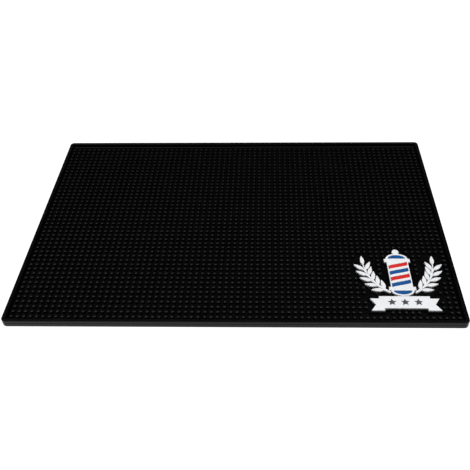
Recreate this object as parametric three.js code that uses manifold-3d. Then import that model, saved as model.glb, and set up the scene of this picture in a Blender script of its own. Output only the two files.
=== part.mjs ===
// Barber station mat: a flexible black PVC service mat with a raised rim and rows of short
// nubs, and a soft PVC badge of several colours moulded into its front right corner.
// Millimetres, +Z up. +X runs along the long side, +Y towards the back edge.
// The origin is the centre of the underside.
import * as THREE from "three";
import { mergeVertices } from "three/addons/utils/BufferGeometryUtils.js";
import Module from "manifold-3d";

const wasm = await Module();
wasm.setup();

// ---- mat -------------------------------------------------------------------------------
const MAT_WIDTH = 450;
const MAT_DEPTH = 300;
const MAT_HEIGHT = 8;
const CORNER_RADIUS = 4.8;
const CORNER_STEPS = 7;
const FLOOR_TOP = 3.4;

// ---- rim: a wall with a flat top, round edges and a groove round the outside ------------
const RIM_WIDTH = 3.9;
const RIM_EDGE_RADIUS = 0.4;
const RIM_EDGE_STEPS = 4;
const GROOVE_Z = 5.1;
const GROOVE_DEPTH = 0.25;
const GROOVE_HALF_HEIGHT = 0.45;
const BOTTOM_CHAMFER = 0.8;
const INNER_DRAFT = 0.1;
const FLOOR_FILLET_RUN = 0.7;
const FLOOR_FILLET_RISE = 1.2;

// ---- nubs: the nubs of a row are joined into one bar of the nubs' own width and height --
const NUB_ROWS = 44;
const NUB_SIDE_MARGIN = 8;
const NUB_BACK_MARGIN = 13.7;
const NUB_FRONT_MARGIN = 8.4;
const NUB_TOP = 7;
const NUB_FOOT_RADIUS = 1.9;
const NUB_TOP_RADIUS = 1.7;
const ROW_PITCH = (MAT_DEPTH - NUB_BACK_MARGIN - NUB_FRONT_MARGIN) / (NUB_ROWS - 1);
const ROW_HALF_LENGTH = MAT_WIDTH / 2 - NUB_SIDE_MARGIN;

// ---- badge: measured from its own centre -----------------------------------------------
const BADGE_X = 167.5;
const BADGE_Y = -94;
const PAD_TOP = 6;
const PAD_BORDER = 1.2;
const NUB_CLEARANCE = 1.2;
const PLATE_TOP = 7.6;
const INLAY_TOP = 7.4;
const INLAY_GAP = 0.25;
const SEAT_GAP = 0.05;

// The pole, drawn as its outline from the front.
const POLE_RADIUS = 11;
const POLE_BOTTOM = -9;
const POLE_TOP = 26;
const COLLAR_HALF_WIDTH = 13.5;
const COLLAR_HEIGHT = 4.5;
const DOME_HALF_WIDTH = 11.5;
const DOME_HEIGHT = 7.5;
const DOME_STEPS = 10;
const BALL_RADIUS = 3.6;
const BALL_STEPS = 12;
const POLE_EDGE = 1.3;

const STRIPE_COUNT = 4;
const STRIPE_PITCH = 8.4;
const STRIPE_THICKNESS = 4.6;
const STRIPE_RISE_PER_RADIAN = 2.6;
const STRIPE_STEPS = 8;

// A branch curves up each side of the pole.
const BRANCH_CENTRE_X = -14;
const BRANCH_CENTRE_Y = 26;
const BRANCH_RADIUS = 50;
const BRANCH_START = -58;
const BRANCH_END = -4;
const STEM_HALF_WIDTH = 0.9;
const LEAF_PAIRS = 5;
const FIRST_PAIR = -50;
const LAST_PAIR = -12.5;
const LEAF_LENGTH = 12.5;
const LEAF_WIDTH = 4.3;
const LEAF_SPREAD = 39;
const LEAF_STEPS = 5;
const LEAF_NECK = 0.6;
const BAND_HALF_WIDTH = 8.4;

// The ribbon across the foot, with a panel in the middle and a notched tail each side.
const RIBBON_TOP = -21.6;
const RIBBON_BOTTOM = -37;
const RIBBON_HALF_WIDTH = 25;
const TAIL_REACH = 9;
const TAIL_DROP = 3;
const TAIL_NOTCH = 5;
const STAR_COUNT = 3;
const STAR_SPACING = 13;
const STAR_RADIUS = 4.2;
const STAR_INNER_SHARE = 0.45;

const degrees = THREE.MathUtils.degToRad;

const materials = {
  black: new THREE.MeshStandardMaterial({ color: 0x141414, roughness: 0.5, metalness: 0 }),
  white: new THREE.MeshStandardMaterial({ color: 0xeeeff0, roughness: 0.5, metalness: 0 }),
  blue: new THREE.MeshStandardMaterial({ color: 0x15509c, roughness: 0.45, metalness: 0 }),
  red: new THREE.MeshStandardMaterial({ color: 0xd62a2e, roughness: 0.45, metalness: 0 }),
  grey: new THREE.MeshStandardMaterial({ color: 0x3c3d40, roughness: 0.5, metalness: 0 }),
};

// ---- from three.js geometry to a solid, and back ---------------------------------------
function solidOf(geometry) {
  const bare = geometry.clone();
  bare.deleteAttribute("normal");
  bare.deleteAttribute("uv");
  const merged = mergeVertices(bare, 1e-4);
  return new wasm.Manifold(
    new wasm.Mesh({
      numProp: 3,
      vertProperties: merged.attributes.position.array,
      triVerts: new Uint32Array(merged.index.array),
    }),
  );
}

function meshOf(name, solid, material) {
  const { vertProperties, triVerts, numProp } = solid.getMesh();
  const geometry = new THREE.BufferGeometry();
  const count = vertProperties.length / numProp;
  const position = new Float32Array(count * 3);
  for (let i = 0; i < count; i += 1) {
    position.set(vertProperties.subarray(i * numProp, i * numProp + 3), i * 3);
  }
  geometry.setAttribute("position", new THREE.BufferAttribute(position, 3));
  geometry.setIndex(new THREE.BufferAttribute(triVerts, 1));
  geometry.computeVertexNormals();
  const mesh = new THREE.Mesh(geometry, material);
  mesh.name = name;
  return mesh;
}

const joined = (solids) => solids.reduce((sum, solid) => sum.add(solid));

// ---- outlines, as lists of [x, y] points -----------------------------------------------
const path = (points) => points.map(([x, y]) => new THREE.Vector2(x, y));

// An outline with windows in it, raised from one height to another.
function slab(points, windows, low, high) {
  const shape = new THREE.Shape(path(points));
  shape.holes = windows.map((window) => new THREE.Path(path(window)));
  const options = { depth: high - low, bevelEnabled: false };
  return new THREE.ExtrudeGeometry(shape, options).translate(0, 0, low);
}

// A shape's points on the other side of the badge's middle line.
const mirrored = (points) => points.map(([x, y]) => [-x, y]).reverse();

const onBranch = (radius, angle) => [
  BRANCH_CENTRE_X + radius * Math.cos(degrees(angle)),
  BRANCH_CENTRE_Y + radius * Math.sin(degrees(angle)),
];

// The strip of the badge that a branch takes up, with round ends.
function branchBand(halfWidth) {
  const [start, end, steps] = [BRANCH_START + 4, BRANCH_END + 6, 10];
  const points = [];
  const arc = (centre, radius, from, to) => {
    for (let i = 0; i <= steps; i += 1) {
      const angle = degrees(from + ((to - from) * i) / steps);
      points.push([centre[0] + radius * Math.cos(angle), centre[1] + radius * Math.sin(angle)]);
    }
  };
  const centre = [BRANCH_CENTRE_X, BRANCH_CENTRE_Y];
  arc(centre, BRANCH_RADIUS + halfWidth, start, end);
  arc(onBranch(BRANCH_RADIUS, end), halfWidth, end + 18, end + 162);
  arc(centre, BRANCH_RADIUS - halfWidth, end, start);
  arc(onBranch(BRANCH_RADIUS, start), halfWidth, start + 198, start + 342);
  return points;
}

// One leaf's points: out along its near edge, round the tip and back to the stem.
function leafPoints([x, y], headingDegrees, side) {
  const heading = degrees(headingDegrees);
  const halfWidth = (t) => Math.max(LEAF_NECK, (LEAF_WIDTH / 2) * Math.sin(Math.PI * t ** 0.8));
  const place = (t, across) => [
    x + t * LEAF_LENGTH * Math.cos(heading) - across * Math.sin(heading),
    y + t * LEAF_LENGTH * Math.sin(heading) + across * Math.cos(heading),
  ];
  const along = Array.from({ length: LEAF_STEPS }, (_, i) => i / LEAF_STEPS);
  const near = along.map((t) => place(t, -side * halfWidth(t)));
  const far = along.map((t) => place(t, side * halfWidth(t)));
  return [...near, place(1, 0), ...far.reverse()];
}

// A branch as one outline: up the outer side, round the end leaf, down the inner side.
function branchPoints() {
  const pairs = Array.from(
    { length: LEAF_PAIRS },
    (_, i) => FIRST_PAIR + ((LAST_PAIR - FIRST_PAIR) * i) / (LEAF_PAIRS - 1),
  );
  const edge = (side, angle) => onBranch(BRANCH_RADIUS + side * STEM_HALF_WIDTH, angle);
  const leafAt = (side, angle) =>
    leafPoints(edge(side, angle), angle + 90 - side * LEAF_SPREAD, side);
  const outer = pairs.flatMap((angle) => leafAt(1, angle));
  const inner = pairs.flatMap((angle) => leafAt(-1, angle)).reverse();
  const tip = leafPoints(onBranch(BRANCH_RADIUS, BRANCH_END), BRANCH_END + 90, 1);
  return [edge(1, BRANCH_START), ...outer, ...tip, ...inner, edge(-1, BRANCH_START)];
}

// Half an ellipse on a flat base, bulging towards +Y for direction 1 and -Y for -1.
function domePoints(halfWidth, height, base, direction) {
  const points = [];
  for (let i = 0; i <= DOME_STEPS; i += 1) {
    const angle = (Math.PI * i) / DOME_STEPS;
    points.push([
      halfWidth * Math.cos(angle),
      base + direction * height * Math.sin(angle),
    ]);
  }
  return points;
}

function starPoints(x, y, radius) {
  const points = [];
  for (let i = 0; i < 10; i += 1) {
    const angle = Math.PI / 2 + (i * Math.PI) / 5;
    const reach = i % 2 ? radius * STAR_INNER_SHARE : radius;
    points.push([x + reach * Math.cos(angle), y + reach * Math.sin(angle)]);
  }
  return points;
}

// A stripe wound round the pole and seen from the front: height rises with the wrap angle.
function stripePoints(middle, grow) {
  const halfWidth = POLE_RADIUS - POLE_EDGE + grow;
  const half = STRIPE_THICKNESS / 2 + grow;
  const lower = [];
  const upper = [];
  for (let i = 0; i <= STRIPE_STEPS; i += 1) {
    const x = halfWidth * (-1 + (2 * i) / STRIPE_STEPS);
    const y = middle + STRIPE_RISE_PER_RADIAN * Math.asin(x / POLE_RADIUS);
    lower.push([x, y - half]);
    upper.unshift([x, y + half]);
  }
  return [...lower, ...upper];
}

// The whole pole: foot dome, collar, shaft, collar, crown dome and ball, grown by a border.
function polePoints(grow) {
  const crownBase = POLE_TOP + COLLAR_HEIGHT;
  const footBase = POLE_BOTTOM - COLLAR_HEIGHT;
  const ballCentre = crownBase + DOME_HEIGHT + BALL_RADIUS - 0.8;
  const right = [];
  for (let i = 0; i < DOME_STEPS / 2; i += 1) {
    const angle = (Math.PI * i) / DOME_STEPS - Math.PI / 2;
    right.push([
      (DOME_HALF_WIDTH + grow) * Math.cos(angle),
      footBase + (DOME_HEIGHT + grow) * Math.sin(angle),
    ]);
  }
  right.push([DOME_HALF_WIDTH + grow, footBase - grow]);
  right.push([COLLAR_HALF_WIDTH + grow, footBase - grow]);
  right.push([COLLAR_HALF_WIDTH + grow, POLE_BOTTOM + grow]);
  right.push([POLE_RADIUS + grow, POLE_BOTTOM + grow]);
  right.push([POLE_RADIUS + grow, POLE_TOP - grow]);
  right.push([COLLAR_HALF_WIDTH + grow, POLE_TOP - grow]);
  right.push([COLLAR_HALF_WIDTH + grow, crownBase + grow]);
  right.push([DOME_HALF_WIDTH + grow, crownBase + grow]);
  const ball = BALL_RADIUS + grow;
  const ballFoot = crownBase + (DOME_HEIGHT + grow) * 0.96;
  const neck = Math.asin((ballCentre - ballFoot) / ball);
  for (let i = 1; i < DOME_STEPS / 2; i += 1) {
    const angle = (Math.PI * i) / DOME_STEPS;
    const x = (DOME_HALF_WIDTH + grow) * Math.cos(angle);
    const y = crownBase + (DOME_HEIGHT + grow) * Math.sin(angle);
    if (x > ball * Math.cos(neck)) right.push([x, y]);
  }
  for (let i = 0; i <= BALL_STEPS / 2; i += 1) {
    const angle = -neck + ((Math.PI / 2 + neck) * i) / (BALL_STEPS / 2);
    right.push([ball * Math.cos(angle), ballCentre + ball * Math.sin(angle)]);
  }
  return [...right, ...mirrored(right).slice(1, -1)];
}

// The ribbon's outline: the middle panel and a notched tail on each side, set lower.
function ribbonPoints(grow) {
  const foot = RIBBON_BOTTOM - TAIL_DROP - grow;
  const top = RIBBON_TOP - TAIL_DROP + grow;
  const outer = RIBBON_HALF_WIDTH + TAIL_REACH + grow;
  const inner = RIBBON_HALF_WIDTH - 4 - grow;
  const right = [
    [inner, RIBBON_BOTTOM - grow],
    [inner, foot],
    [outer, foot],
    [outer - TAIL_NOTCH, (foot + top) / 2],
    [outer, top],
    [RIBBON_HALF_WIDTH + grow, top],
    [RIBBON_HALF_WIDTH + grow, RIBBON_TOP + grow],
  ];
  return [...right, ...mirrored(right)];
}

// ---- mat body --------------------------------------------------------------------------
// The wall's section from the underside, up the outside, over the top and down to the
// floor, as [distance in from the outermost face, height].
function rimSection() {
  const section = [
    [BOTTOM_CHAMFER, 0],
    [BOTTOM_CHAMFER * 0.3, BOTTOM_CHAMFER * 0.3],
    [0, BOTTOM_CHAMFER],
    [0, GROOVE_Z - GROOVE_HALF_HEIGHT],
    [GROOVE_DEPTH, GROOVE_Z],
    [0, GROOVE_Z + GROOVE_HALF_HEIGHT],
  ];
  const edgeZ = MAT_HEIGHT - RIM_EDGE_RADIUS;
  const outer = [];
  const inner = [];
  for (let i = 0; i <= RIM_EDGE_STEPS; i += 1) {
    const angle = (Math.PI / 2) * (i / RIM_EDGE_STEPS);
    const inset = RIM_EDGE_RADIUS * (1 - Math.cos(angle));
    const z = edgeZ + RIM_EDGE_RADIUS * Math.sin(angle);
    outer.push([inset, z]);
    inner.unshift([RIM_WIDTH - inset, z]);
  }
  const innerFoot = RIM_WIDTH + INNER_DRAFT;
  return [
    ...section,
    ...outer,
    ...inner,
    [innerFoot, FLOOR_TOP + FLOOR_FILLET_RISE],
    [innerFoot + FLOOR_FILLET_RUN, FLOOR_TOP],
  ];
}

// The mat's outline with round corners, brought in by the inset all round.
function outlineLoop(inset) {
  const radius = CORNER_RADIUS - inset;
  const [x, y] = [MAT_WIDTH / 2 - CORNER_RADIUS, MAT_DEPTH / 2 - CORNER_RADIUS];
  const corners = [[x, y], [-x, y], [-x, -y], [x, -y]];
  return corners.flatMap(([cx, cy], quarter) => {
    const points = [];
    for (let i = 0; i <= CORNER_STEPS; i += 1) {
      const angle = (Math.PI / 2) * (quarter + i / CORNER_STEPS);
      points.push([cx + radius * Math.cos(angle), cy + radius * Math.sin(angle)]);
    }
    return points;
  });
}

// The rim's section carried round the outline, closed by the underside and the floor.
function traySolid() {
  const section = rimSection();
  const position = [];
  section.forEach(([inset, z]) => {
    outlineLoop(inset).forEach(([x, y]) => position.push(x, y, z));
  });
  const around = outlineLoop(0).length;
  const under = section.length * around;
  const floor = under + 1;
  position.push(0, 0, 0, 0, 0, FLOOR_TOP);
  const index = [];
  const last = (section.length - 1) * around;
  for (let i = 0; i < around; i += 1) {
    const next = (i + 1) % around;
    for (let ring = 0; ring < section.length - 1; ring += 1) {
      const [a, b] = [ring * around + i, ring * around + next];
      index.push(a, b, b + around, a, b + around, a + around);
    }
    index.push(under, next, i, floor, last + i, last + next);
  }
  const geometry = new THREE.BufferGeometry();
  geometry.setAttribute("position", new THREE.Float32BufferAttribute(position, 3));
  geometry.setIndex(index);
  return solidOf(geometry);
}

// One bar for each row of nubs, with the nubs' draft at its sides and ends.
function nubRowSolid(row) {
  const y = MAT_DEPTH / 2 - NUB_BACK_MARGIN - row * ROW_PITCH;
  const reach = ROW_HALF_LENGTH + NUB_FOOT_RADIUS;
  const root = FLOOR_TOP - 0.5;
  const section = [
    [y - NUB_FOOT_RADIUS, root],
    [y + NUB_FOOT_RADIUS, root],
    [y + NUB_TOP_RADIUS, NUB_TOP],
    [y - NUB_TOP_RADIUS, NUB_TOP],
  ];
  // The section is laid out in Y and Z and drawn out along X.
  const turned = new THREE.Matrix4().set(0, 0, 1, 0, 1, 0, 0, 0, 0, 1, 0, 0, 0, 0, 0, 1);
  return solidOf(slab(section, [], -reach, reach).applyMatrix4(turned));
}

// The flat pad under the badge. It is grown by a border, or by the room the nubs leave.
function padSolid(low, high, grow) {
  const band = branchBand(BAND_HALF_WIDTH + grow);
  const outlines = [band, mirrored(band), polePoints(grow), ribbonPoints(grow)];
  const slabs = outlines.map((points) => slab(points, [], low, high));
  return joined(slabs.map((geometry) => solidOf(geometry.translate(BADGE_X, BADGE_Y, 0))));
}

function matBody() {
  const rows = [];
  for (let row = 0; row < NUB_ROWS; row += 1) rows.push(nubRowSolid(row));
  const bars = joined(rows);
  const cleared = bars.subtract(padSolid(0, MAT_HEIGHT, PAD_BORDER + NUB_CLEARANCE));
  const pad = padSolid(FLOOR_TOP - 0.5, PAD_TOP, PAD_BORDER);
  return joined([traySolid(), cleared, pad]);
}

// ---- badge -----------------------------------------------------------------------------
const stripeMiddle = (i) =>
  (POLE_TOP + POLE_BOTTOM) / 2 + (i - (STRIPE_COUNT - 1) / 2) * STRIPE_PITCH;

// The coloured panels in the two domes, each set in by the pole's white edge.
function domeInlay(direction, grow) {
  const base =
    direction > 0 ? POLE_TOP + COLLAR_HEIGHT + 0.6 : POLE_BOTTOM - COLLAR_HEIGHT - 0.6;
  return domePoints(
    DOME_HALF_WIDTH - 2 * POLE_EDGE + grow,
    DOME_HEIGHT - 2 * POLE_EDGE + 2 * grow,
    base - direction * grow,
    direction,
  );
}

// The pole's inlays as name, material and outline as a function of how far it is grown.
function poleInlays() {
  const list = [];
  for (let i = 0; i < STRIPE_COUNT; i += 1) {
    const colour = i % 2 ? "red" : "blue";
    const name = `pole_stripe_${colour}_${Math.floor(i / 2) + 1}`;
    list.push([name, colour, (grow) => stripePoints(stripeMiddle(i), grow)]);
  }
  list.push(["crown_inlay", "blue", (grow) => domeInlay(1, grow)]);
  list.push(["foot_inlay", "blue", (grow) => domeInlay(-1, grow)]);
  return list;
}

function starInlays() {
  const list = [];
  for (let i = 0; i < STAR_COUNT; i += 1) {
    const x = (i - (STAR_COUNT - 1) / 2) * STAR_SPACING;
    const y = (RIBBON_TOP + RIBBON_BOTTOM) / 2;
    const outline = (grow) => starPoints(x, y, STAR_RADIUS + 2 * grow);
    list.push([`ribbon_star_${i + 1}`, "grey", outline]);
  }
  return list;
}

// A white plate with a window for each inlay, and the inlays standing in their windows.
function platePieces(name, outline, inlays) {
  const low = PAD_TOP + SEAT_GAP;
  const windows = inlays.map(([, , outlineOf]) => outlineOf(INLAY_GAP));
  return [
    [name, slab(outline, windows, low, PLATE_TOP), "white"],
    ...inlays.map(([inlay, colour, outlineOf]) => [
      inlay,
      slab(outlineOf(0), [], low, INLAY_TOP),
      colour,
    ]),
  ];
}

function badge() {
  const group = new THREE.Group();
  const branch = branchPoints();
  [
    ...platePieces("badge_pole", polePoints(0), poleInlays()),
    ...platePieces("badge_ribbon", ribbonPoints(0), starInlays()),
    ...platePieces("badge_branch_right", branch, []),
    ...platePieces("badge_branch_left", mirrored(branch), []),
  ].forEach(([name, geometry, colour]) => {
    const mesh = new THREE.Mesh(geometry, materials[colour]);
    mesh.name = name;
    group.add(mesh);
  });
  group.position.set(BADGE_X, BADGE_Y, 0);
  return group;
}

function build() {
  const mat = new THREE.Group();
  mat.add(meshOf("mat_body", matBody(), materials.black));
  mat.add(badge());
  return mat;
}

export default build();
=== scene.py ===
"""Barber station mat: a black moulded PVC mat with a badge in its front right corner.

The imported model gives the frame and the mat's overall size. Every surface is worked out
in millimetres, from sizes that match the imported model, and the meshes are in metres.
"""

from __future__ import annotations

import logging
import math
from dataclasses import dataclass, field
from enum import Enum
from typing import ClassVar

import bpy
import numpy as np
from mathutils import Matrix, Vector
from mathutils.geometry import tessellate_polygon

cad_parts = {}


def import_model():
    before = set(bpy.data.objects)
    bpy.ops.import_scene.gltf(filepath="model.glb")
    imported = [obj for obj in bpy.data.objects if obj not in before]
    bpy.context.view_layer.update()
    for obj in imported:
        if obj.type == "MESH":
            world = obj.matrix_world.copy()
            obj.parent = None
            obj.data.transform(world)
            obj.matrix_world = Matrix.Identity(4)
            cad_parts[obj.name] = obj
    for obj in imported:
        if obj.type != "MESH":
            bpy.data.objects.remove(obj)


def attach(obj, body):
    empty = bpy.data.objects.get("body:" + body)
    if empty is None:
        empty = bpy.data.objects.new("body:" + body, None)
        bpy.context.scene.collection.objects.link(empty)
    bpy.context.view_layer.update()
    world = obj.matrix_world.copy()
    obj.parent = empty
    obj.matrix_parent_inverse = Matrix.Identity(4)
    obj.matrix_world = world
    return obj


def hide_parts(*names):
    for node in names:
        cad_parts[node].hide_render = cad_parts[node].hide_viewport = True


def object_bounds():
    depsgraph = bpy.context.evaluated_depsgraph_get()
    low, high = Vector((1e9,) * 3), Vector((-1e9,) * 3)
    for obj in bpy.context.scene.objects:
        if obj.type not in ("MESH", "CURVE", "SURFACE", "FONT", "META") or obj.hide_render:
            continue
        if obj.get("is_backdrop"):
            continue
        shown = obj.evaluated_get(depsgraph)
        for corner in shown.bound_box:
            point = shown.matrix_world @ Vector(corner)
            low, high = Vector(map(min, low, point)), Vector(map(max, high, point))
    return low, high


LOG = logging.getLogger("station_mat")
MM = 0.001
ROOT = "root"
SHARP_EDGE = math.radians(40)

# ---------------------------------------------------------------------------------------
# Shader maths
# ---------------------------------------------------------------------------------------


class Term:
    """A socket of a material's node tree that can be used in Python expressions."""

    def __init__(self, shader: "Shader", socket: bpy.types.NodeSocket) -> None:
        """Keep the socket and the shader that new nodes go into."""
        self.shader = shader
        self.socket = socket

    def _math(self, operation: str, first: object, second: object) -> "Term":
        """Add a Math node.

        Args:
            operation: the Math node's operation.
            first: its first value or term.
            second: its second value or term.

        Returns:
            The node's result.
        """
        return self.shader.node(
            "ShaderNodeMath", {"operation": operation}, {0: first, 1: second}
        )

    def __add__(self, other: object) -> "Term":
        """Return self + other."""
        return self._math("ADD", self, other)

    __radd__ = __add__

    def __sub__(self, other: object) -> "Term":
        """Return self - other."""
        return self._math("SUBTRACT", self, other)

    def __rsub__(self, other: object) -> "Term":
        """Return other - self."""
        return self._math("SUBTRACT", other, self)

    def __mul__(self, other: object) -> "Term":
        """Return self * other."""
        return self._math("MULTIPLY", self, other)

    __rmul__ = __mul__


class Shader:
    """The node tree of a material or a world, built by one general node method."""

    def __init__(self, owner: bpy.types.ID, output: str = "ShaderNodeOutputMaterial") -> None:
        """Start a tree that holds only its output.

        Args:
            owner: the new material or world.
            output: the type of its output node.
        """
        self.owner = owner
        self.owner.use_nodes = True
        self.tree = self.owner.node_tree
        self.tree.nodes.clear()
        self.output = self.tree.nodes.new(output)

    def node(
        self,
        kind: str,
        settings: dict[str, object] | None = None,
        inputs: dict[object, object] | None = None,
        result: object = 0,
    ) -> Term:
        """Add a node, set it up and feed it.

        Args:
            kind: the node's type.
            settings: the node's own properties, set first. "stops" sets a ramp's stops.
            inputs: socket name or number to a value or a term.
            result: name or number of the output socket to hand back.

        Returns:
            The chosen output as a term.
        """
        made = self.tree.nodes.new(kind)
        for key, value in (settings or {}).items():
            if key == "stops":
                self._set_stops(made.color_ramp, value)
            else:
                setattr(made, key, value)
        for key, value in (inputs or {}).items():
            if isinstance(value, Term):
                self.tree.links.new(value.socket, made.inputs[key])
            else:
                made.inputs[key].default_value = value
        return Term(self, made.outputs[result])

    @staticmethod
    def _set_stops(ramp: bpy.types.ColorRamp, stops: list[tuple[float, tuple]]) -> None:
        """Give a colour ramp its stops.

        Args:
            ramp: the ramp, which has two stops already.
            stops: position and colour of each stop, in order.
        """
        while len(ramp.elements) < len(stops):
            ramp.elements.new(1.0)
        for element, (position, colour) in zip(ramp.elements, stops, strict=True):
            element.position = position
            element.color = colour

    def place(self, scale: float = 1.0) -> Term:
        """Return the point's own object coordinates, times a scale."""
        where = self.node("ShaderNodeTexCoord", result="Object")
        return self.node(
            "ShaderNodeVectorMath", {"operation": "SCALE"}, {0: where, "Scale": scale}
        )

    def noise(self, point: Term, cell: float, detail: float = 2.0) -> Term:
        """Return soft noise from 0 to 1.

        Args:
            point: where it is read.
            cell: size of its blotches in metres.
            detail: number of finer octaves.

        Returns:
            The noise's height.
        """
        return self.node(
            "ShaderNodeTexNoise",
            {},
            {"Vector": point, "Scale": 1.0 / cell, "Detail": detail, "Roughness": 0.55},
            "Fac",
        )

    def fade(self, value: Term, start: float, end: float) -> Term:
        """Return 0 at the start, 1 at the end and a smooth step between.

        Args:
            value: the term that is read.
            start: its value where the result is 0.
            end: its value where the result is 1.

        Returns:
            The step.
        """
        return self.node(
            "ShaderNodeMapRange",
            {"interpolation_type": "SMOOTHSTEP"},
            {"Value": value, "From Min": start, "From Max": end, "To Min": 0.0, "To Max": 1.0},
        )

    def finish(self, kind: str, settings: dict[str, object]) -> bpy.types.ID:
        """End the tree with a shader.

        Args:
            kind: the shader node's type.
            settings: its sockets by name.

        Returns:
            The finished material or world.
        """
        shader = self.node(kind, {}, settings)
        self.tree.links.new(shader.socket, self.output.inputs["Surface"])
        return self.owner

    def surface(self, settings: dict[str, object]) -> bpy.types.ID:
        """Finish a material with the surface shader and return it."""
        return self.finish("ShaderNodeBsdfPrincipled", settings)


# ---------------------------------------------------------------------------------------
# Finishes
# ---------------------------------------------------------------------------------------


class Slot(Enum):
    """The record's material slots."""

    BLACK = "black"
    WHITE = "white"
    BLUE = "blue"
    RED = "red"
    GREY = "grey"


@dataclass(frozen=True)
class MouldedPvc:
    """Soft PVC as it comes out of a mould: satin, with a fine grain and faint blotches.

    Attributes:
        name: the material's name.
        slot: the record's material slot; not used.
        colour: linear colour.
        roughness: middle roughness.
        roughness_swing: how far blotches move the roughness either way.
        tone_swing: share by which the colour darkens and lightens in blotches.
        blotch: size of the blotches in metres.
        grain: size of the surface grain in metres.
        grain_depth: height of the grain in metres.
        specular: specular level, 0.5 being an index of 1.5.
    """

    name: str
    slot: Slot
    colour: tuple[float, float, float]
    roughness: float = 0.5
    roughness_swing: float = 0.08
    tone_swing: float = 0.1
    blotch: float = 0.02
    grain: float = 0.0005
    grain_depth: float = 0.00001
    specular: float = 0.4

    def shades(self) -> tuple[tuple[float, ...], tuple[float, ...]]:
        """Return the darkest and the lightest colour of the blotches."""
        dark = tuple(c * (1 - self.tone_swing) for c in self.colour) + (1.0,)
        light = tuple(min(1.0, c * (1 + self.tone_swing)) for c in self.colour) + (1.0,)
        return dark, light

    def material(self) -> bpy.types.Material:
        """Build the material: blotches drive colour and roughness, the grain the bump."""
        shader = Shader(bpy.data.materials.new(self.name))
        point = shader.place()
        blotch = shader.noise(point, self.blotch, 3.0)
        fine = shader.noise(point, self.grain, 2.0)
        dark, light = self.shades()
        colour = shader.node(
            "ShaderNodeValToRGB",
            {"stops": [(0.3, dark), (0.7, light)]},
            {"Fac": blotch},
            "Color",
        )
        roughness = self.roughness + (blotch - 0.5) * (2 * self.roughness_swing)
        bump = shader.node(
            "ShaderNodeBump",
            {},
            {"Height": fine, "Distance": self.grain_depth, "Strength": 1.0},
            "Normal",
        )
        return shader.surface(
            {
                "Base Color": colour,
                "Roughness": roughness,
                "Normal": bump,
                "Specular IOR Level": self.specular,
            }
        )


BLACK_PVC = MouldedPvc(
    "black_pvc", Slot.BLACK, (0.0005, 0.0005, 0.00053), roughness=0.28, specular=0.19
)
WHITE_PVC = MouldedPvc(
    "white_pvc", Slot.WHITE, (0.87, 0.88, 0.9), roughness=0.55, tone_swing=0.02
)
BLUE_PVC = MouldedPvc("blue_pvc", Slot.BLUE, (0.002, 0.08, 0.285), roughness=0.5, specular=0.25)
RED_PVC = MouldedPvc("red_pvc", Slot.RED, (0.66, 0.021, 0.019), roughness=0.5, specular=0.25)
GREY_PVC = MouldedPvc("grey_pvc", Slot.GREY, (0.07, 0.072, 0.078), roughness=0.5)

# ---------------------------------------------------------------------------------------
# Surfaces
# ---------------------------------------------------------------------------------------


def closed_mesh(
    name: str, vertices: np.ndarray, quads: np.ndarray, faces: list[list[int]]
) -> bpy.types.Mesh:
    """Put worked-out arrays into a mesh.

    Args:
        name: the mesh's name.
        vertices: (n, 3) points in millimetres.
        quads: (m, 4) vertex numbers.
        faces: any further faces, as lists of vertex numbers.

    Returns:
        The mesh, in metres, with smooth faces and sharp edges where the angle is large.
    """
    mesh = bpy.data.meshes.new(name)
    loops = np.concatenate([quads.ravel(), *[np.asarray(face) for face in faces]])
    totals = np.concatenate([np.full(len(quads), 4), [len(face) for face in faces]])
    totals = totals.astype(np.int32)
    starts = np.concatenate([[0], np.cumsum(totals)[:-1]]).astype(np.int32)
    mesh.vertices.add(len(vertices))
    mesh.vertices.foreach_set("co", (vertices * MM).astype(np.float32).ravel())
    mesh.loops.add(len(loops))
    mesh.loops.foreach_set("vertex_index", loops.astype(np.int32))
    mesh.polygons.add(len(totals))
    mesh.polygons.foreach_set("loop_start", starts)
    mesh.polygons.foreach_set("loop_total", totals)
    mesh.update(calc_edges=True)
    mesh.validate()
    mesh.shade_smooth()
    mesh.set_sharp_from_angle(angle=SHARP_EDGE)
    return mesh


def add_piece(
    name: str, mesh: bpy.types.Mesh, finish: MouldedPvc, stands_for: tuple[str, ...]
) -> bpy.types.Object:
    """Put a finished mesh in the scene as a piece of the mat.

    Args:
        name: the piece's name.
        mesh: its mesh, in place.
        finish: what it is made of.
        stands_for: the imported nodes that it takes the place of.

    Returns:
        The piece's object.
    """
    piece = bpy.data.objects.new(name, mesh)
    bpy.context.scene.collection.objects.link(piece)
    mesh.materials.append(material_of(finish))
    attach(piece, ROOT)
    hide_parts(*stands_for)
    LOG.info("%s: %d faces in %s", name, len(mesh.polygons), finish.name)
    return piece


def material_of(finish: MouldedPvc) -> bpy.types.Material:
    """Return the finish's material, building it the first time."""
    return bpy.data.materials.get(finish.name) or finish.material()


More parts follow.
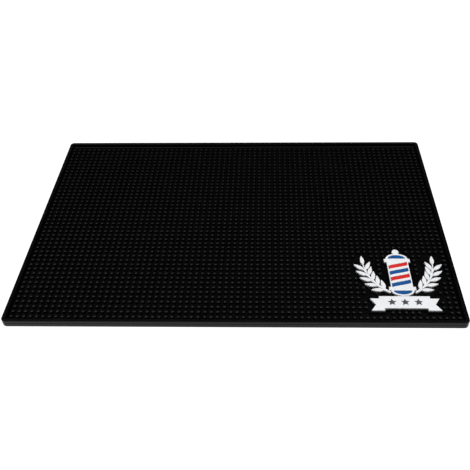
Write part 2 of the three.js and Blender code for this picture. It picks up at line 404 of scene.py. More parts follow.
@dataclass(frozen=True)
class Outline:
    """A closed outline in plan, anticlockwise, in millimetres.

    Attributes:
        points: (n, 2) corners.
    """

    points: np.ndarray
    NEEDLE: ClassVar[float] = 0.12

    @staticmethod
    def of(points: object) -> "Outline":
        """Return an outline of the points, turned anticlockwise if it isn't."""
        array = np.asarray(points, dtype=float)
        x, y = array.T
        area = np.sum(x * np.roll(y, -1) - np.roll(x, -1) * y)
        return Outline(array if area > 0 else array[::-1].copy())

    def mitres(self) -> np.ndarray:
        """Return how each corner moves as the outline grows by one millimetre.

        The two edges' outward normals n1 and n2 give (n1 + n2) / (1 + n1.n2), which keeps
        both edges at the full distance. The divisor stays above NEEDLE, for needle corners.
        """
        ahead = np.roll(self.points, -1, axis=0) - self.points
        ahead /= np.linalg.norm(ahead, axis=1, keepdims=True)
        after = np.stack([ahead[:, 1], -ahead[:, 0]], axis=1)
        before = np.roll(after, 1, axis=0)
        share = 1 + np.sum(before * after, axis=1, keepdims=True)
        return (before + after) / np.maximum(share, self.NEEDLE)

    def grown(self, distance: float) -> "Outline":
        """Return the outline moved outwards by a distance."""
        return Outline(self.points + distance * self.mitres())

    def moved(self, x: float, y: float) -> "Outline":
        """Return the outline moved in plan."""
        return Outline(self.points + np.array([x, y]))

    def mirrored(self) -> "Outline":
        """Return the outline reflected in the line x = 0."""
        return Outline((self.points * np.array([-1.0, 1.0]))[::-1].copy())

    def holds(self, places: np.ndarray) -> np.ndarray:
        """Tell which places lie inside, by counting the edges to the right of each.

        Args:
            places: (k, 2) points.

        Returns:
            (k,) booleans.
        """
        a = self.points[None]
        b = np.roll(self.points, -1, axis=0)[None]
        x, y = places[:, None, 0], places[:, None, 1]
        spans = (a[..., 1] > y) != (b[..., 1] > y)
        rise = np.where(spans, b[..., 1] - a[..., 1], 1.0)
        crossing = a[..., 0] + (y - a[..., 1]) / rise * (b[..., 0] - a[..., 0])
        return np.sum(spans & (crossing > x), axis=1) % 2 == 1


def carried(outline: Outline, profile: np.ndarray) -> np.ndarray:
    """Carry a profile round an outline.

    Args:
        outline: the closed path.
        profile: (m, 2) pairs of distance in from the path and height.

    Returns:
        (m, n, 3) points: ring k is the outline shrunk by profile[k, 0] at profile[k, 1].
    """
    inset, height = profile[:, 0], profile[:, 1]
    plan = outline.points[None] - inset[:, None, None] * outline.mitres()[None]
    level = np.broadcast_to(height[:, None, None], plan.shape[:2] + (1,))
    return np.concatenate([plan, level], axis=2)


def ring_quads(rings: int, around: int, first: int = 0) -> np.ndarray:
    """Return the quads that join successive rings of a carried profile.

    Args:
        rings: number of rings.
        around: points in each ring.
        first: number of the first vertex.

    Returns:
        ((rings - 1) * around, 4) vertex numbers, facing out for rings that rise.
    """
    ring, step = np.meshgrid(np.arange(rings - 1), np.arange(around), indexing="ij")
    nearer = first + ring * around
    turn = (step + 1) % around
    quads = np.stack([nearer + step, nearer + turn, nearer + around + turn, nearer + around + step])
    return quads.reshape(4, -1).T


def rounded_top(
    low: float, high: float, radius: float, crown: float, run: float = 0.25, steps: int = 4
) -> np.ndarray:
    """Return the profile of a wall that rises and rounds over onto a slightly crowned top.

    Args:
        low: height of the wall's foot.
        high: height at the end of the rounding.
        radius: radius of the rounding.
        crown: how much higher the flat top stands than the end of the rounding.
        run: distance over which the top climbs to the crown.
        steps: segments in the rounding.

    Returns:
        (steps + 3, 2) pairs of inset and height.
    """
    turn = np.linspace(0, math.pi / 2, steps + 1)
    inset = radius * (1 - np.cos(turn))
    height = high - radius + radius * np.sin(turn)
    top = [inset[-1] + run, high + crown]
    return np.concatenate([[[0.0, low]], np.stack([inset, height], axis=1), [top]])


def relief(
    name: str, outline: Outline, windows: list[Outline], profile: np.ndarray
) -> bpy.types.Mesh:
    """Raise an outline with windows into a closed solid with rounded edges.

    Args:
        name: the mesh's name.
        outline: the outer edge.
        windows: openings through the solid.
        profile: inset and height, from the foot of the wall to the top face.

    Returns:
        The mesh.
    """
    edges = [carried(outline, profile)]
    for window in windows:
        hole = carried(window, profile * np.array([-1.0, 1.0]))
        edges.append(hole[:, ::-1])
    vertices, quads, starts = [], [], []
    count = 0
    for edge in edges:
        rings, around = edge.shape[:2]
        quads.append(ring_quads(rings, around, count))
        starts.append((count, rings, around))
        vertices.append(edge.reshape(-1, 3))
        count += rings * around
    points = np.concatenate(vertices)
    tops = [np.arange(first + (rings - 1) * n, first + rings * n) for first, rings, n in starts]
    feet = [np.arange(first, first + n) for first, _, n in starts]
    faces = filled(points, tops, True) + filled(points, feet, False)
    return closed_mesh(name, points, np.concatenate(quads), faces)


def filled(points: np.ndarray, loops: list[np.ndarray], upwards: bool) -> list[list[int]]:
    """Fill a flat outline with windows with triangles.

    Args:
        points: (n, 3) all points.
        loops: the vertex numbers of the outline and of each window.
        upwards: whether the faces look up or down.

    Returns:
        Triangles as lists of vertex numbers.
    """
    order = np.concatenate(loops)
    flat = [[Vector((x, y, 0.0)) for x, y, _ in points[loop]] for loop in loops]
    found = order[np.asarray(tessellate_polygon(flat))]
    a, b, c = (points[found[:, k], :2] for k in range(3))
    turn = (b[:, 0] - a[:, 0]) * (c[:, 1] - a[:, 1]) - (b[:, 1] - a[:, 1]) * (c[:, 0] - a[:, 0])
    wrong = (turn < 0) if upwards else (turn > 0)
    found[wrong] = found[wrong][:, ::-1]
    return found.tolist()


def rounded_rectangle(half_x: float, half_y: float, radius: float, steps: int) -> Outline:
    """Return a rectangle with round corners.

    Args:
        half_x: half its width.
        half_y: half its depth.
        radius: radius of its corners.
        steps: segments in each corner.

    Returns:
        Its outline: each corner is an arc round a point set in by the radius.
    """
    turn = np.linspace(0, math.pi / 2, steps + 1)
    angle = (np.arange(4)[:, None] * math.pi / 2 + turn[None]).ravel()
    side_x = np.repeat([1.0, -1.0, -1.0, 1.0], steps + 1) * (half_x - radius)
    side_y = np.repeat([1.0, 1.0, -1.0, -1.0], steps + 1) * (half_y - radius)
    return Outline(
        np.stack([side_x + radius * np.cos(angle), side_y + radius * np.sin(angle)], axis=1)
    )


# ---------------------------------------------------------------------------------------
# The mat
# ---------------------------------------------------------------------------------------


@dataclass(frozen=True)
class Tray:
    """The mat's floor and rim: a wall with a groove round it, a flat top and round edges.

    Attributes:
        width: size along X.
        depth: size along Y.
        height: height of the rim.
        corner: radius of the plan corners.
        floor: height of the floor.
        rim: width of the rim's top.
        edge: radius of the rim's top edges.
        groove_z: height of the groove round the outside.
        groove: depth of the groove.
        groove_half: half the groove's height.
        foot: radius of the bottom edge.
        draft: how much wider the rim is at the floor.
        fillet_run: width of the rounding between wall and floor.
        fillet_rise: its height.
        keep: distance from a flat stretch's ends to the points that keep it flat.
        edge_steps: segments in each rounding of the section.
        groove_steps: segments across the groove.
        corner_steps: segments round each plan corner.
    """

    width: float
    depth: float
    height: float
    corner: float = 4.8
    floor: float = 3.4
    rim: float = 3.9
    edge: float = 0.4
    groove_z: float = 5.1
    groove: float = 0.25
    groove_half: float = 0.45
    foot: float = 0.8
    draft: float = 0.1
    fillet_run: float = 0.7
    fillet_rise: float = 1.2
    keep: float = 0.06
    edge_steps: int = 5
    groove_steps: int = 8
    corner_steps: int = 14

    @staticmethod
    def filling(box: tuple[Vector, Vector]) -> "Tray":
        """Return a tray as large as a box.

        Args:
            box: the box's low and high corners in metres.

        Returns:
            The tray, its sizes rounded to a micrometre.
        """
        low, high = (np.asarray(corner, dtype=float) for corner in box)
        return Tray(*np.round((high - low) / MM, 3).tolist())

    def profile(self) -> np.ndarray:
        """Return the rim's section from the underside, over the top, to the floor.

        Every edge is a quarter circle, the foot of the inner wall a quarter ellipse, and
        the groove one wave of a cosine. Points close to each end of a flat stretch keep
        it flat when the faces are smoothed.
        """
        turn = np.linspace(0, math.pi / 2, self.edge_steps + 1)
        inward, upward = 1 - np.cos(turn), np.sin(turn)
        foot = self.foot * np.stack([1 - upward, inward], axis=1)
        wave = np.linspace(-1, 1, self.groove_steps + 1)
        groove = np.stack(
            [
                self.groove * (0.5 + 0.5 * np.cos(math.pi * wave)),
                self.groove_z + self.groove_half * wave,
            ],
            axis=1,
        )
        outer = np.stack(
            [self.edge * inward, self.height - self.edge + self.edge * upward], axis=1
        )
        inner = outer[::-1] * np.array([-1.0, 1.0]) + np.array([self.rim, 0.0])
        bend = np.stack(
            [
                self.rim + self.draft + self.fillet_run * inward,
                self.floor + self.fillet_rise * (1 - upward),
            ],
            axis=1,
        )
        corners = [foot, groove, outer, inner, bend]
        stretches = [corners[0]]
        for before, after in zip(corners, corners[1:], strict=False):
            step = (after[0] - before[-1]) / np.linalg.norm(after[0] - before[-1]) * self.keep
            stretches += [before[-1:] + step, after[:1] - step, after]
        return np.concatenate(stretches)

    def build(self) -> None:
        """Carry the section round the mat and close it with the underside and the floor."""
        half = (self.width / 2, self.depth / 2)
        outline = rounded_rectangle(*half, self.corner, self.corner_steps)
        surface = carried(outline, self.profile())
        rings, around = surface.shape[:2]
        last = (rings - 1) * around
        faces = [
            list(range(around))[::-1],
            list(range(last, last + around)),
        ]
        mesh = closed_mesh(
            "mat_tray", surface.reshape(-1, 3), ring_quads(rings, around), faces
        )
        add_piece("mat_tray", mesh, BLACK_PVC, ("mat_body",))


@dataclass(frozen=True)
class NubField:
    """The rows of short round nubs that stand on the floor.

    Attributes:
        columns: nubs along X.
        rows: nubs along Y.
        side_margin: from the mat's sides to the outermost nubs' middles.
        back_margin: from its back edge to theirs.
        front_margin: from its front edge to theirs.
        foot_radius: radius at the floor.
        taper: how much narrower it is at the top of its root.
        root: height of its root, where it flares into the floor.
        flare: how much wider the root is at the floor.
        sunk: how far the root goes into the floor.
        dome: radius of the sphere that caps it.
        leans: how far the cap leans at each of its rings, in degrees.
        brim: how much wider its wall ends than the cap begins.
        brim_drop: how much lower its wall ends than the cap begins.
        height: height of the top above the underside.
        sides: sides of one nub.
        pieces: number of pieces the field is made in.
        clearance: gap to the badge's pad.
        swell: spread of the nubs' width, as a share of it.
        lift: spread of their height.
        tilt: spread of their tops' slope.
        seed: seed of these small differences.
    """

    columns: int = 70
    rows: int = 44
    side_margin: float = 8.0
    back_margin: float = 13.7
    front_margin: float = 8.4
    foot_radius: float = 1.9
    taper: float = 0.02
    root: float = 0.4
    flare: float = 0.15
    sunk: float = 0.05
    dome: float = 3.0
    leans: tuple[float, ...] = (34.0, 21.0, 9.0)
    brim: float = 0.1
    brim_drop: float = 0.25
    height: float = 7.0
    sides: int = 10
    pieces: int = 3
    clearance: float = 0.7
    swell: float = 0.02
    lift: float = 0.02
    tilt: float = 0.012
    seed: int = 7

    def places(self, tray: Tray) -> np.ndarray:
        """Return the nubs' middles in plan, row by row from the back."""
        reach = tray.width / 2 - self.side_margin
        back, front = tray.depth / 2 - self.back_margin, self.front_margin - tray.depth / 2
        x = np.linspace(-reach, reach, self.columns)
        y = np.linspace(back, front, self.rows)
        grid_y, grid_x = np.meshgrid(y, x, indexing="ij")
        return np.stack([grid_x.ravel(), grid_y.ravel()], axis=1)

    def template(self, floor: float) -> np.ndarray:
        """Return one nub's rings: a flared root and a tapering wall under a round cap.

        The cap's rings lie on a sphere. Where it leans by an angle a, the ring's radius is
        r sin(a), and it is r (1 - cos(a)) below the top.

        Args:
            floor: height of the floor.

        Returns:
            (rings, sides, 3) points round the origin.
        """
        lean = np.radians(self.leans)
        reach = self.dome * np.sin(lean)
        wall = [self.foot_radius + self.flare, self.foot_radius - self.taper, reach[0] + self.brim]
        radius = np.concatenate([wall, reach])
        cap = self.height - self.dome * (1 - np.cos(lean))
        climb = [floor - self.sunk, floor + self.root, cap[0] - self.brim_drop]
        height = np.concatenate([climb, cap])
        turn = np.arange(self.sides) * 2 * math.pi / self.sides
        ring = np.stack([np.cos(turn), np.sin(turn)], axis=1)
        plan = radius[:, None, None] * ring[None]
        level = np.broadcast_to(height[:, None, None], plan.shape[:2] + (1,))
        return np.concatenate([plan, level], axis=2)

    def build(self, tray: Tray, cleared: list[Outline]) -> None:
        """Stand a nub on every place that the badge's pad leaves free.

        Each nub is the template, made a little wider or narrower, and above its root
        lifted by a + b x + c y, with a, b and c drawn at random.

        Args:
            tray: the mat's tray.
            cleared: outlines that the nubs keep out of.
        """
        places = self.places(tray)
        reach = self.foot_radius + self.clearance
        taken = np.any([area.grown(reach).holds(places) for area in cleared], axis=0)
        places = places[~taken]
        rng = np.random.default_rng(self.seed)
        template = self.template(tray.floor)
        rings, sides = template.shape[:2]
        per_nub = rings * sides
        for number, share in enumerate(np.array_split(places, self.pieces), start=1):
            count = len(share)
            size = 1 + rng.normal(0, self.swell, (count, 1, 1))
            plan = template[None, ..., :2].reshape(1, per_nub, 2) * size
            plan = plan + share[:, None]
            level = np.broadcast_to(template[..., 2].reshape(1, per_nub), (count, per_nub))
            around = template[..., :2].reshape(1, per_nub, 2)
            tilt = rng.normal(0, self.tilt, (count, 1, 2))
            lift = rng.normal(0, self.lift, (count, 1)) + np.sum(around * tilt, axis=2)
            level = level + np.where(level > tray.floor + self.root, lift, 0.0)
            points = np.concatenate([plan, level[..., None]], axis=2)
            quads = ring_quads(rings, sides)[None] + (np.arange(count) * per_nub)[:, None, None]
            caps = np.arange(count)[:, None] * per_nub + np.arange(per_nub - sides, per_nub)
            mesh = closed_mesh(
                f"mat_nubs_{number}",
                points.reshape(-1, 3),
                quads.reshape(-1, 4),
                caps.tolist(),
            )
            add_piece(f"mat_nubs_{number}", mesh, BLACK_PVC, ("mat_body",))


# ---------------------------------------------------------------------------------------
# The badge
# ---------------------------------------------------------------------------------------


@dataclass(frozen=True)
class Pole:
    """The pole in the middle of the badge, drawn from the front.

    Attributes:
        radius: half the shaft's width.
        bottom: lower end of the shaft.
        top: upper end of the shaft.
        collar: half the collars' width.
        collar_height: height of each collar.
        dome: half the domes' width.
        dome_height: height of each dome.
        ball: radius of the ball on the crown.
        ball_sink: how far the ball sinks into the dome.
        neck: height of the joint between ball and dome, as a share of the dome's height.
        neck_gap: distance along X from that joint to the dome's nearest point.
        edge: width of white left beside the stripes.
        stripes: number of stripes.
        pitch: distance from stripe to stripe.
        thickness: thickness of a stripe.
        rise: how far a stripe climbs for each radian round the pole.
        inlay_gap: distance from a collar to the panel in its dome.
        arc_steps: segments in a quarter of a dome.
        ball_steps: segments in the right half of the ball.
        stripe_steps: segments along a stripe.
        panel_steps: segments along a panel's round edge.
    """

    radius: float = 11.0
    bottom: float = -9.0
    top: float = 26.0
    collar: float = 13.5
    collar_height: float = 4.5
    dome: float = 11.5
    dome_height: float = 7.5
    ball: float = 3.6
    ball_sink: float = 0.8
    neck: float = 0.96
    neck_gap: float = 0.3
    edge: float = 1.3
    stripes: int = 4
    pitch: float = 8.4
    thickness: float = 4.6
    rise: float = 2.6
    inlay_gap: float = 0.6
    arc_steps: int = 12
    ball_steps: int = 14
    stripe_steps: int = 16
    panel_steps: int = 18

    def outline(self) -> Outline:
        """Return the pole's outline from its foot dome up to the ball, and down again."""
        crown = self.top + self.collar_height
        foot = self.bottom - self.collar_height
        centre = crown + self.dome_height + self.ball - self.ball_sink
        low = np.linspace(-math.pi / 2, 0, self.arc_steps + 1)[:-1]
        lower = np.stack(
            [self.dome * np.cos(low), foot + self.dome_height * np.sin(low)], axis=1
        )
        steps = np.array(
            [
                [self.dome, foot],
                [self.collar, foot],
                [self.collar, self.bottom],
                [self.radius, self.bottom],
                [self.radius, self.top],
                [self.collar, self.top],
                [self.collar, crown],
                [self.dome, crown],
            ]
        )
        neck = math.asin((centre - crown - self.dome_height * self.neck) / self.ball)
        high = np.linspace(0, math.pi / 2, self.arc_steps + 1)[1:]
        upper = np.stack(
            [self.dome * np.cos(high), crown + self.dome_height * np.sin(high)], axis=1
        )
        upper = upper[upper[:, 0] > self.ball * math.cos(neck) + self.neck_gap]
        turn = np.linspace(-neck, math.pi / 2, self.ball_steps + 1)
        ball = np.stack([self.ball * np.cos(turn), centre + self.ball * np.sin(turn)], axis=1)
        right = np.concatenate([lower, steps, upper, ball])
        left = (right * np.array([-1.0, 1.0]))[::-1][1:-1]
        return Outline.of(np.concatenate([right, left]))

    def stripe(self, number: int) -> Outline:
        """Return a stripe seen from the front.

        A stripe wound round the pole at x = r sin(a) stands at a height that rises evenly
        with the wrap angle a, so its edges follow asin(x / r).

        Args:
            number: which stripe, from the bottom.

        Returns:
            Its outline.
        """
        middle = (self.top + self.bottom) / 2 + (number - (self.stripes - 1) / 2) * self.pitch
        x = np.linspace(-1, 1, self.stripe_steps + 1) * (self.radius - self.edge)
        climb = middle + self.rise * np.arcsin(x / self.radius)
        lower = np.stack([x, climb - self.thickness / 2], axis=1)
        upper = np.stack([x, climb + self.thickness / 2], axis=1)[::-1]
        return Outline.of(np.concatenate([lower, upper]))

    def dome_panel(self, direction: int) -> Outline:
        """Return the coloured panel in a dome: half an ellipse inside the white edge.

        Args:
            direction: 1 for the crown and -1 for the foot.

        Returns:
            Its outline.
        """
        crown = self.top + self.collar_height + self.inlay_gap
        foot = self.bottom - self.collar_height - self.inlay_gap
        base = crown if direction > 0 else foot
        turn = np.linspace(0, math.pi, self.panel_steps + 1)
        x = (self.dome - 2 * self.edge) * np.cos(turn)
        y = base + direction * (self.dome_height - 2 * self.edge) * np.sin(turn)
        return Outline.of(np.stack([x, y], axis=1))


@dataclass(frozen=True)
class Branch:
    """A leafy branch that curves up the right side of the pole.

    Attributes:
        centre: middle of the stem's arc.
        radius: radius of the stem's arc.
        start: angle of its lower end in degrees.
        end: angle of its upper end in degrees.
        stem: half the stem's width.
        pairs: number of leaf pairs.
        first: angle of the first pair in degrees.
        last: angle of the last pair in degrees.
        length: length of a leaf.
        leaf: width of a leaf.
        spread: angle between a leaf and the stem in degrees.
        neck: half the width where a leaf leaves the stem.
        fullness: exponent that sets where along its length a leaf is widest.
        band: half the width of the strip the branch takes up.
        band_start: angle from the stem's lower end to the strip's, in degrees.
        band_end: angle from the stem's upper end to the strip's, in degrees.
        cap: first angle of the strip's round ends in degrees.
        steps: segments along a leaf, and half those along the strip.
    """

    centre: tuple[float, float] = (-14.0, 26.0)
    radius: float = 50.0
    start: float = -58.0
    end: float = -4.0
    stem: float = 0.9
    pairs: int = 5
    first: float = -50.0
    last: float = -12.5
    length: float = 12.5
    leaf: float = 4.3
    spread: float = 39.0
    neck: float = 0.6
    fullness: float = 0.8
    band: float = 8.4
    band_start: float = 4.0
    band_end: float = 6.0
    cap: float = 18.0
    steps: int = 12

    def at(self, radius: float, degrees: float) -> np.ndarray:
        """Return the point at a radius and an angle round the arc's middle."""
        angle = math.radians(degrees)
        return np.array(self.centre) + radius * np.array([math.cos(angle), math.sin(angle)])

    def blade(self, base: np.ndarray, heading: float, side: int) -> np.ndarray:
        """Return one leaf's edge, out along one side, round the tip and back.

        At the share t of its length its half width is the widest one times sin(pi t^f),
        where f is its fullness, and never less than its neck's.

        Args:
            base: where it leaves the stem.
            heading: its direction in degrees.
            side: 1 on the outer side of the arc and -1 on the inner.

        Returns:
            (k, 2) points.
        """
        t = np.linspace(0, 1, self.steps + 1)[:-1]
        half = np.maximum(self.neck, self.leaf / 2 * np.sin(np.pi * t**self.fullness))
        along = np.concatenate([t, [1.0], t[::-1]]) * self.length
        across = np.concatenate([-side * half, [0.0], side * half[::-1]])
        cos, sin = math.cos(math.radians(heading)), math.sin(math.radians(heading))
        return base + np.stack([along * cos - across * sin, along * sin + across * cos], axis=1)

    def outline(self) -> Outline:
        """Return the branch's outline: up its outer side, round its tip, down its inner."""
        angles = np.linspace(self.first, self.last, self.pairs)
        sides = {
            side: [
                self.blade(
                    self.at(self.radius + side * self.stem, angle),
                    angle + 90 - side * self.spread,
                    side,
                )
                for angle in angles
            ]
            for side in (1, -1)
        }
        tip = self.blade(self.at(self.radius, self.end), self.end + 90, 1)
        inner = np.concatenate(sides[-1])[::-1]
        ends = [self.at(self.radius + side * self.stem, self.start)[None] for side in (1, -1)]
        return Outline.of(np.concatenate([ends[0], *sides[1], tip, inner, ends[1]]))

    def strip(self) -> Outline:
        """Return the strip that the branch takes up, with round ends."""
        start, end = self.start + self.band_start, self.end + self.band_end
        along = np.linspace(start, end, 2 * self.steps + 1)
        cap = np.linspace(self.cap, 180 - self.cap, self.steps + 1)
        outer = [self.at(self.radius + self.band, angle) for angle in along]
        inner = [self.at(self.radius - self.band, angle) for angle in along[::-1]]
        ends = []
        for angle, turned in ((end, 0), (start, 180)):
            middle = self.at(self.radius, angle)
            turn = np.radians(angle + turned + cap)
            ends.append(middle + self.band * np.stack([np.cos(turn), np.sin(turn)], axis=1))
        return Outline.of(np.concatenate([outer, ends[0], inner, ends[1]]))


@dataclass(frozen=True)
class Ribbon:
    """The ribbon across the badge's foot, with notched tails and a row of stars.

    Attributes:
        top: upper edge of its panel.
        bottom: lower edge of its panel.
        half_width: half the panel's width.
        reach: how far a tail goes past the panel.
        drop: how much lower the tails hang.
        notch: depth of the cut in a tail's end.
        tuck: how far a tail reaches in behind the panel.
        stars: number of stars.
        spacing: distance from star to star.
        star: a star's outer radius.
        waist: its inner radius as a share of the outer.
    """

    top: float = -21.6
    bottom: float = -37.0
    half_width: float = 25.0
    reach: float = 9.0
    drop: float = 3.0
    notch: float = 5.0
    tuck: float = 4.0
    stars: int = 3
    spacing: float = 13.0
    star: float = 4.2
    waist: float = 0.45

    def outline(self) -> Outline:
        """Return the ribbon's outline."""
        foot, top = self.bottom - self.drop, self.top - self.drop
        outer, inner = self.half_width + self.reach, self.half_width - self.tuck
        right = np.array(
            [
                [inner, self.bottom],
                [inner, foot],
                [outer, foot],
                [outer - self.notch, (foot + top) / 2],
                [outer, top],
                [self.half_width, top],
                [self.half_width, self.top],
            ]
        )
        left = (right * np.array([-1.0, 1.0]))[::-1]
        return Outline.of(np.concatenate([right, left]))

    def star_outline(self, number: int) -> Outline:
        """Return a star: ten corners that take turns at the outer and inner radius."""
        middle = np.array(
            [(number - (self.stars - 1) / 2) * self.spacing, (self.top + self.bottom) / 2]
        )
        corner = np.arange(10)
        turn = math.pi / 2 + corner * math.pi / 5
        reach = np.where(corner % 2, self.star * self.waist, self.star)
        return Outline.of(middle + reach[:, None] * np.stack([np.cos(turn), np.sin(turn)], axis=1))


@dataclass(frozen=True)
class Badge:
    """The badge: white reliefs on a black pad, with coloured inlays in their windows.

    Attributes:
        x: its middle along X.
        y: its middle along Y.
        pad_top: height of the pad.
        pad_rounding: radius of the pad's top edge.
        sunk: how far the pad goes into the floor.
        border: how far the pad stands out past the reliefs.
        seat: gap between a relief and the pad.
        plate_top: height of the white reliefs.
        inlay_top: height of the inlays.
        joint: gap round an inlay.
        rounding: radius of the reliefs' top edges.
        crown: how much the reliefs' tops stand up inside their edges.
        pole: the pole in its middle.
        branch: the branch on its right, whose mirror image is on its left.
        ribbon: the ribbon across its foot.
    """

    x: float = 167.5
    y: float = -94.0
    pad_top: float = 6.0
    pad_rounding: float = 0.5
    sunk: float = 0.1
    border: float = 1.2
    seat: float = 0.05
    plate_top: float = 7.6
    inlay_top: float = 7.4
    joint: float = 0.2
    rounding: float = 0.3
    crown: float = 0.04
    pole: Pole = field(default_factory=Pole)
    branch: Branch = field(default_factory=Branch)
    ribbon: Ribbon = field(default_factory=Ribbon)

    def pads(self) -> dict[str, Outline]:
        """Return the pad's outlines, in place: each relief's own, grown by the border."""
        strip = self.branch.strip()
        shapes = {
            "pole": self.pole.outline(),
            "ribbon": self.ribbon.outline(),
            "branch_right": strip,
            "branch_left": strip.mirrored(),
        }
        return {
            name: shape.grown(self.border).moved(self.x, self.y)
            for name, shape in shapes.items()
        }

    def raise_relief(
        self, name: str, outline: Outline, windows: list[Outline], top: float, finish: MouldedPvc
    ) -> None:
        """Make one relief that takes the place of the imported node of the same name.

        Args:
            name: the node.
            outline: its outline round the badge's middle.
            windows: its windows.
            top: its height.
            finish: its material.
        """
        profile = rounded_top(self.pad_top + self.seat, top, self.rounding, self.crown)
        placed = outline.moved(self.x, self.y)
        holes = [window.grown(self.joint).moved(self.x, self.y) for window in windows]
        mesh = relief(f"{name}_relief", placed, holes, profile)
        add_piece(f"{name}_relief", mesh, finish, (name,))

    def build_pads(self, floor: float) -> None:
        """Raise the black pad that the reliefs stand on.

        Args:
            floor: height of the mat's floor.
        """
        profile = rounded_top(floor - self.sunk, self.pad_top, self.pad_rounding, 0.0)
        for name, outline in self.pads().items():
            mesh = relief(f"pad_{name}", outline, [], profile)
            add_piece(f"pad_{name}", mesh, BLACK_PVC, ("mat_body",))

    def build(self, floor: float) -> None:
        """Make the pad, the four white reliefs and their inlays.

        Args:
            floor: height of the mat's floor.
        """
        self.build_pads(floor)
        stripes = [self.pole.stripe(number) for number in range(self.pole.stripes)]
        panels = {"crown_inlay": self.pole.dome_panel(1), "foot_inlay": self.pole.dome_panel(-1)}
        stars = [self.ribbon.star_outline(number) for number in range(self.ribbon.stars)]
        branch = self.branch.outline()
        plates = {
            "badge_pole": (self.pole.outline(), [*stripes, *panels.values()]),
            "badge_ribbon": (self.ribbon.outline(), stars),
            "badge_branch_right": (branch, []),
            "badge_branch_left": (branch.mirrored(), []),
        }
        for node, (outline, windows) in plates.items():
            self.raise_relief(node, outline, windows, self.plate_top, WHITE_PVC)
        for number, stripe in enumerate(stripes):
            colour, finish = (("blue", BLUE_PVC), ("red", RED_PVC))[number % 2]
            node = f"pole_stripe_{colour}_{number // 2 + 1}"
            self.raise_relief(node, stripe, [], self.inlay_top, finish)
        for node, panel in panels.items():
            self.raise_relief(node, panel, [], self.inlay_top, BLUE_PVC)
        for number, star in enumerate(stars, start=1):
            self.raise_relief(f"ribbon_star_{number}", star, [], self.inlay_top, GREY_PVC)


# ---------------------------------------------------------------------------------------
# The studio
# ---------------------------------------------------------------------------------------


@dataclass(frozen=True)
class SoftLight:
    """A soft rectangular lamp that looks at a point.

    Attributes:
        name: its name.
        place: where it hangs, in metres.
        target: what it looks at, in metres.
        size: its width and height in metres.
        power: its power in watts.
    """

    name: str
    place: tuple[float, float, float]
    target: tuple[float, float, float]
    size: tuple[float, float]
    power: float

    def build(self) -> None:
        """Hang the lamp."""
        lamp = bpy.data.lights.new(self.name, "AREA")
        lamp.shape = "RECTANGLE"
        lamp.size, lamp.size_y = self.size
        lamp.energy = self.power
        holder = bpy.data.objects.new(self.name, lamp)
        bpy.context.scene.collection.objects.link(holder)
        aim = Vector(self.target) - Vector(self.place)
        turn = aim.to_track_quat("-Z", "Y").to_matrix().to_4x4()
        holder.matrix_world = Matrix.Translation(self.place) @ turn


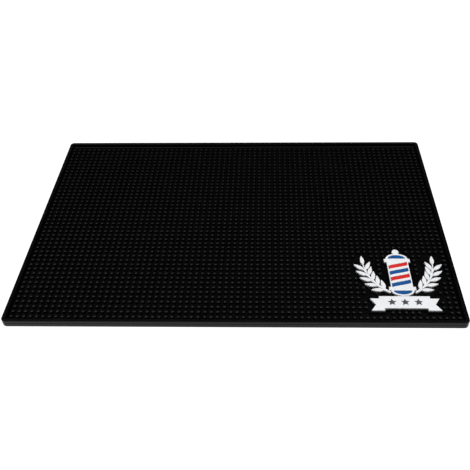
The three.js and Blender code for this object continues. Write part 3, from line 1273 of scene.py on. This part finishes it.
@dataclass(frozen=True)
class Studio:
    """A white floor, a soft lamp, the room and the camera.

    Attributes:
        floor_reach: distance from the middle of the floor to its sides in metres.
        floor_gap: distance from the mat's underside down to the floor in metres.
        floor_tone: share of light that the floor reflects.
        floor_glow: light that the floor adds of its own, so that no shadow shows on it.
        room: brightness of the room.
        wall: brightness of the room's back wall.
        wall_fade: angles above the floor, in degrees, between which the wall fades out.
        wall_sides: Y of the directions between which the wall fades in towards the back.
        camera_place: the camera's place in metres.
        camera_turn: its turns about X, Y and Z in degrees.
        lens: focal length on a 36 mm wide sensor.
        shift: sideways shift of the picture, as a share of its width.
        lamp: the lamp, which hangs over the mat's front half and shines straight down.
    """

    floor_reach: float = 6.0
    floor_gap: float = 0.0002
    floor_tone: float = 0.12
    floor_glow: float = 1.05
    room: float = 0.03
    wall: float = 0.16
    wall_fade: tuple[float, float] = (31.0, 38.0)
    wall_sides: tuple[float, float] = (0.1, 0.5)
    camera_place: tuple[float, float, float] = (0.034648, -0.536843, 0.479125)
    camera_turn: tuple[float, float, float] = (1.572, 47.22, 2.084)
    lens: float = 48.577
    shift: float = -0.04043
    lamp: SoftLight = SoftLight("key", (0.0, -0.3, 1.2), (0.0, -0.3, 0.0), (3.3, 1.5), 32.0)

    def build_floor(self) -> None:
        """Lay a plain white floor just under the mat."""
        corners = self.floor_reach * np.array([[-1, -1, 0], [1, -1, 0], [1, 1, 0], [-1, 1, 0]])
        mesh = bpy.data.meshes.new("floor")
        mesh.from_pydata((corners - [0, 0, self.floor_gap]).tolist(), [], [[0, 1, 2, 3]])
        shader = Shader(bpy.data.materials.new("floor_white"))
        mesh.materials.append(
            shader.surface(
                {
                    "Base Color": (self.floor_tone, self.floor_tone, self.floor_tone, 1.0),
                    "Roughness": 0.8,
                    "Specular IOR Level": 0.1,
                    "Emission Color": (1.0, 1.0, 1.0, 1.0),
                    "Emission Strength": self.floor_glow,
                }
            )
        )
        floor = bpy.data.objects.new("floor", mesh)
        bpy.context.scene.collection.objects.link(floor)
        floor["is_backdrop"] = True

    def build_world(self) -> None:
        """Make the room dim, pale low down at the back, and plain white to the camera."""
        shader = Shader(bpy.data.worlds.new("room"), "ShaderNodeOutputWorld")
        direction = shader.node("ShaderNodeTexCoord", result="Generated")
        split = {"Vector": direction}
        height = shader.node("ShaderNodeSeparateXYZ", {}, split, "Z")
        depth = shader.node("ShaderNodeSeparateXYZ", {}, split, "Y")
        low, high = (math.sin(math.radians(angle)) for angle in self.wall_fade)
        below = shader.fade(height, high, low)
        behind = shader.fade(depth, *self.wall_sides)
        glow = self.room + below * behind * (self.wall - self.room)
        seen = shader.node("ShaderNodeLightPath", result="Is Camera Ray")
        bpy.context.scene.world = shader.finish(
            "ShaderNodeBackground",
            {"Strength": glow + seen * (1.0 - glow), "Color": (1.0, 1.0, 1.0, 1.0)},
        )

    def build_camera(self) -> None:
        """Stand the camera: turned about Z, then X, then Y of the room."""
        lens = bpy.data.cameras.new("camera")
        lens.lens = self.lens
        lens.sensor_width = 36.0
        lens.shift_x = self.shift
        lens.clip_start = 0.01
        camera = bpy.data.objects.new("camera", lens)
        bpy.context.scene.collection.objects.link(camera)
        roll, tilt, pan = (math.radians(angle) for angle in self.camera_turn)
        turn = Matrix.Translation(self.camera_place) @ Matrix.Rotation(pan, 4, "Y")
        camera.matrix_world = turn @ Matrix.Rotation(tilt, 4, "X") @ Matrix.Rotation(roll, 4, "Z")
        bpy.context.scene.camera = camera

    def build(self) -> None:
        """Set up the camera, the floor, the room and the lamp."""
        self.build_camera()
        self.build_floor()
        self.build_world()
        self.lamp.build()
        view = bpy.context.scene.view_settings
        view.view_transform = "Standard"
        view.look = "None"


def main() -> None:
    """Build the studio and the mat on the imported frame."""
    logging.basicConfig(level=logging.INFO, format="%(name)s %(message)s")
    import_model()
    cad_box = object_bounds()
    Studio().build()
    tray = Tray.filling(cad_box)
    badge = Badge()
    tray.build()
    NubField().build(tray, list(badge.pads().values()))
    badge.build(tray.floor)


if __name__ == "__main__":
    main()
